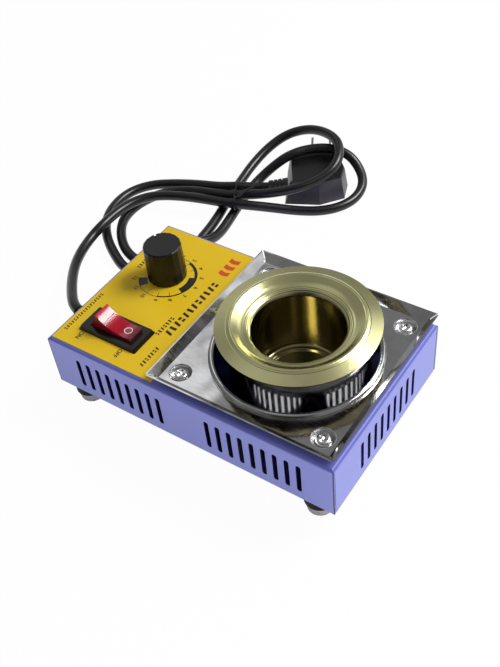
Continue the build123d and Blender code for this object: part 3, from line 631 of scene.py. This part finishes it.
# Rows of plain marks along Y: X, start and end, height along X, pitch, shapes in turn
black_rows = [
    (-32, 25, -25, 4.4, 3.9, ["dots", "slant", "block", "slant"]),
    (-37, -9, -26, 2.5, 2.2, ["dots", "slant", "block"]),
    (-30.5, -31, -47, 2.5, 2.2, ["slant", "dots", "slant"]),
    (-84, -13, -47, 2.1, 1.9, ["dots", "slant", "dots", "slant"]),
    (-80, 22, 12, 2.3, 2.1, ["dots", "slant", "block"]),
]
red_row = (-33, 47, 30, 6.5, 5.5, ["chevron"])
# Shares of a mark's pitch, width or height
mark_width_share = 0.72
block_width_share = 0.62
dot_width_share = 0.8
dot_height_share = 0.36
dot_place_share = 0.29
slant_stroke_share = 0.384
chevron_stroke_share = 0.48


def dial_angle(number):
    return first_angle - step_angle * number


def on_dial(radius, angle):
    """Place on the label at a radius and an angle in degrees from the dial's centre."""
    turn = math.radians(angle)
    return (dial_centre[0] + radius * math.cos(turn), dial_centre[1] + radius * math.sin(turn))


class Print:
    """Flat marks on the label, gathered into one mesh."""

    def __init__(self):
        self.marks = bmesh.new()

    def polygon(self, points):
        corners = [self.marks.verts.new((x * mm, y * mm, print_height * mm)) for x, y in points]
        self.marks.faces.new(corners)

    def bar(self, x, y, width, height):
        """Rectangle about (x, y), width along X and height along Y."""
        self.polygon([(x - width / 2, y - height / 2), (x + width / 2, y - height / 2),
                      (x + width / 2, y + height / 2), (x - width / 2, y + height / 2)])

    def arc(self, inner, outer, start, end):
        steps = max(2, int(abs(end - start) / arc_step))
        for i in range(steps):
            first = start + (end - start) * i / steps
            last = start + (end - start) * (i + 1) / steps
            self.polygon([on_dial(inner, last), on_dial(outer, last),
                          on_dial(outer, first), on_dial(inner, first)])

    def tick(self, inner, outer, angle, width):
        half = math.degrees(width / 2 / outer)
        self.arc(inner, outer, angle - half, angle + half)

    def text(self, body, x, y, size):
        curve = bpy.data.curves.new(body, "FONT")
        curve.body = body
        curve.size = size * mm
        curve.offset = text_weight * mm
        curve.align_x = "CENTER"
        curve.align_y = "CENTER"
        holder = bpy.data.objects.new(body, curve)
        scene.collection.objects.link(holder)
        flat = bpy.data.meshes.new_from_object(holder.evaluated_get(bpy.context.evaluated_depsgraph_get()))
        place = Matrix.Translation(Vector((x, y, print_height)) * mm)
        flat.transform(place @ Matrix.Rotation(text_turn, 4, "Z"))
        self.marks.from_mesh(flat)
        bpy.data.objects.remove(holder)
        bpy.data.curves.remove(curve)
        bpy.data.meshes.remove(flat)

    def dots(self, x, y, width, height):
        for side in (-1, 1):
            place = x + side * height * dot_place_share
            self.bar(place, y, height * dot_height_share, width * dot_width_share)

    def slant(self, x, y, width, height, way):
        top = x + height / 2
        bottom = x - height / 2
        outer = way * width / 2
        inner = outer - way * height * slant_stroke_share
        self.polygon([(top, y + outer), (top, y + inner), (bottom, y - outer), (bottom, y - inner)])

    def chevron(self, x, y, width, height, way):
        tail = y - way * width / 2
        tip = y + way * width / 2
        stroke = way * height * chevron_stroke_share
        for edge in (x - height / 2, x + height / 2):
            self.polygon([(edge, tail), (edge, tail + stroke), (x, tip), (x, tip - stroke)])

    def row(self, x, start, end, height, pitch, shapes):
        """A row of plain marks along Y."""
        way = math.copysign(1, end - start)
        width = pitch * mark_width_share
        for i in range(int(abs(end - start) / pitch)):
            y = start + way * (i + 0.5) * pitch
            shape = shapes[i % len(shapes)]
            if shape == "block":
                self.bar(x, y, height, width * block_width_share)
            if shape == "dots":
                self.dots(x, y, width, height)
            if shape == "slant":
                self.slant(x, y, width, height, way)
            if shape == "chevron":
                self.chevron(x, y, width, height, way)

    def lay(self, name, material):
        mesh = bpy.data.meshes.new(name)
        self.marks.to_mesh(mesh)
        self.marks.free()
        mesh.materials.append(material)
        piece = bpy.data.objects.new(name, mesh)
        scene.collection.objects.link(piece)
        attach(piece, "base")


def make_dial(marks):
    for depth, first, last in dial_bands:
        marks.arc(dial_radius - depth, dial_radius, dial_angle(first), dial_angle(last))
    for number in tick_numbers:
        marks.tick(dial_radius - tick_inner, dial_radius - tick_outer, dial_angle(number), tick_width)
    for number in range(dial_numbers):
        marks.text(str(number), *on_dial(number_radius, dial_angle(number)), number_size)


def make_print():
    black = Print()
    make_dial(black)
    for body, x, y in switch_texts:
        black.text(body, x, y, switch_text_size)
    for row in black_rows:
        black.row(*row)
    black.lay("label_print", ink("black_ink", linear(30, 26, 20)))
    red = Print()
    red.row(*red_row)
    red.lay("label_red_print", ink("red_ink", linear(214, 72, 30)))


# Ribs and ring on the rocker's dished face, in millimetres
rocker_crest = 11.6
rocker_end_rise = 9.3
rocker_middle_rise = 6.0
rocker_width = 10.2
rib_first = -6.0
rib_last = 4.4
rib_pitch = 1.0
rib_width = 0.42
rib_height = 0.45
rib_root = 0.1
rib_side_gap = 0.5
ring_x = 7.1
ring_outer = 2.3
ring_stroke = 0.45
ring_height = 0.18
ring_steps = 40


def dish_height(x):
    """Height of the dished face over the pivot, at a distance along the rocker."""
    sag = rocker_end_rise - rocker_middle_rise
    radius = (rocker_crest ** 2 + sag ** 2) / (2 * sag)
    return rocker_middle_rise + radius - math.sqrt(radius ** 2 - x ** 2)


def lay_on_rocker(shape, name, material):
    """Turns a shape made over the pivot into a piece on the tilted rocker."""
    bmesh.ops.recalc_face_normals(shape, faces=shape.faces)
    mesh = bpy.data.meshes.new(name)
    shape.to_mesh(mesh)
    shape.free()
    mesh.transform(Matrix.Translation(rocker_pivot * mm) @ Matrix.Rotation(rocker_tilt, 4, "Y"))
    mesh.materials.append(material)
    piece = bpy.data.objects.new(name, mesh)
    scene.collection.objects.link(piece)
    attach(piece, "rocker")


def make_rocker_ribs(material):
    ribs = bmesh.new()
    half = rocker_width / 2 - rib_side_gap
    profile = [(-rib_width, -rib_root), (-rib_width / 2, rib_height), (rib_width / 2, rib_height),
               (rib_width, -rib_root)]
    for i in range(int((rib_last - rib_first) / rib_pitch) + 1):
        rows = []
        for offset, lift in profile:
            x = rib_first + i * rib_pitch + offset
            z = dish_height(x) + lift
            rows.append([ribs.verts.new((x * mm, y * mm, z * mm)) for y in (-half, half)])
        for first, second in zip(rows, rows[1:] + rows[:1]):
            ribs.faces.new((first[0], second[0], second[1], first[1]))
        ribs.faces.new([row[0] for row in reversed(rows)])
        ribs.faces.new([row[1] for row in rows])
    lay_on_rocker(ribs, "rocker_ribs", material)


def make_rocker_ring(material):
    ring = bmesh.new()
    inner = ring_outer - ring_stroke
    loops = []
    for radius, lift in ((ring_outer, 0.0), (ring_outer, ring_height), (inner, ring_height), (inner, 0.0)):
        loop = []
        for i in range(ring_steps):
            angle = 2 * math.pi * i / ring_steps
            x = ring_x + radius * math.cos(angle)
            place = Vector((x, radius * math.sin(angle), dish_height(x) + lift)) * mm
            loop.append(ring.verts.new(place))
        loops.append(loop)
    for first, second in zip(loops, loops[1:] + loops[:1]):
        for i in range(ring_steps):
            after = (i + 1) % ring_steps
            ring.faces.new((first[i], first[after], second[after], second[i]))
    lay_on_rocker(ring, "rocker_ring", material)


def finish_nodes(rocker_red):
    """Gives every CAD node its material."""
    pin_steel = polished_steel("pin_steel", (0.7, 0.7, 0.71, 1), (0.6, 0.6, 0.61, 1)).material
    shield_steel = polished_steel("shield_steel", (0.5, 0.5, 0.52, 1), (0.4, 0.4, 0.42, 1)).material
    mica = hidden_finish("mica", linear(205, 196, 178), linear(180, 170, 150), 80, (0.6, 0.8))
    brass = hidden_finish("brass", (0.62, 0.5, 0.22, 1), (0.5, 0.39, 0.16, 1), 90, (0.2, 0.35), 1.0)
    board = hidden_finish("board_green", linear(26, 92, 48), linear(18, 66, 36), 260, (0.35, 0.5))
    aluminium = hidden_finish("aluminium", (0.62, 0.63, 0.65, 1), (0.5, 0.5, 0.52, 1), 140, (0.25, 0.4), 1.0)
    capacitor = hidden_finish("capacitor_case", linear(190, 112, 30), linear(165, 92, 22), 120, (0.2, 0.3))
    finishes = {
        blue_paint(): ["case_shell", "base_plate"],
        yellow_film(): ["control_label"],
        tray_steel(): ["drip_tray"],
        screw_steel(): ["tray_screws"],
        pin_steel: ["plug_pins"],
        shield_steel: ["heat_shield"],
        plain_steel(): ["base_screws", "foot_screws", "foot_nuts", "tray_nuts", "shield_standoffs",
                        "shield_screws", "shield_nuts", "board_standoffs", "board_screws",
                        "regulator_washer", "regulator_nut", "regulator_shaft"],
        gold_pot(): ["solder_pot"],
        black_plastic(): ["switch_body", "control_knob", "regulator_body", "triac", "terminal_block",
                          "cord_gland", "cord_tie"],
        plug_plastic(): ["plug_body"],
        foot_rubber(): ["foot_front_left", "foot_front_right", "foot_rear_left", "foot_rear_right"],
        rocker_red: ["rocker"],
        mica: ["heater_band", "insulation_sleeve", "insulation_pad"],
        brass: ["switch_terminals", "regulator_terminals"],
        board: ["circuit_board"],
        aluminium: ["heat_sink"],
        capacitor: ["film_capacitor"],
    }
    for material, names in finishes.items():
        for name in names:
            mesh = nodes[name].data
            mesh.materials.clear()
            mesh.materials.append(material)


make_camera()
make_stage()
rocker_red = red_rocker()
finish_nodes(rocker_red)
make_cord(lead_rubber())
make_print()
make_rocker_ribs(rocker_red)
make_rocker_ring(ink("white_ink", linear(244, 232, 232)))
